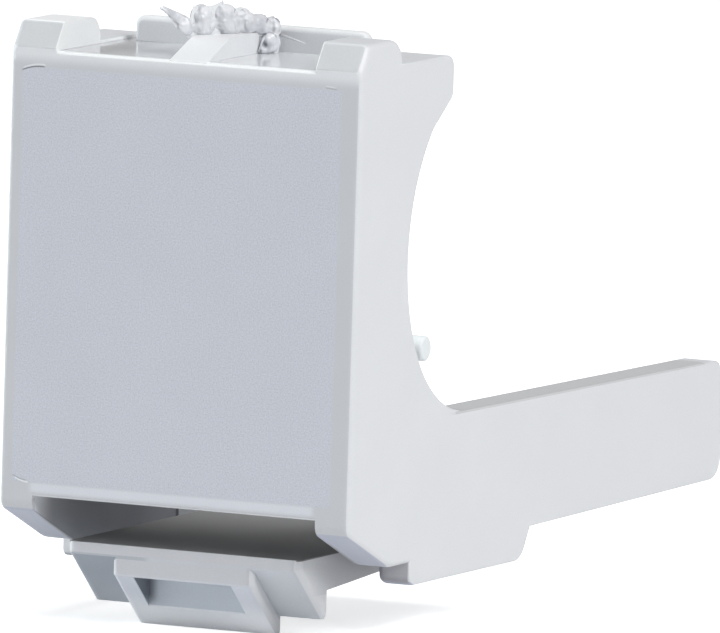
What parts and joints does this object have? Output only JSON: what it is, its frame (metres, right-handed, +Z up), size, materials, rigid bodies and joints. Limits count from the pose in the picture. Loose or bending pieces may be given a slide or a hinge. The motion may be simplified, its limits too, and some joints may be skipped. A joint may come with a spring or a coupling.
{
  "type": "keystone blank insert",
  "caption": "Snap-in blanking insert for a keystone port: a plain front plate with ears and a rib above, a latch tongue below and arms that run back.",
  "frame": {"origin": "centre of the plain front face", "axes": "+X to the right seen from the front, +Y back from the front face along the arms, +Z up"},
  "size_m": [0.0146, 0.0338, 0.0238],
  "materials": {
    "body": "fine-textured front, smooth sides"
  },
  "bodies": {
    "root": {"blank_insert": "body"}
  },
  "joints": []
}
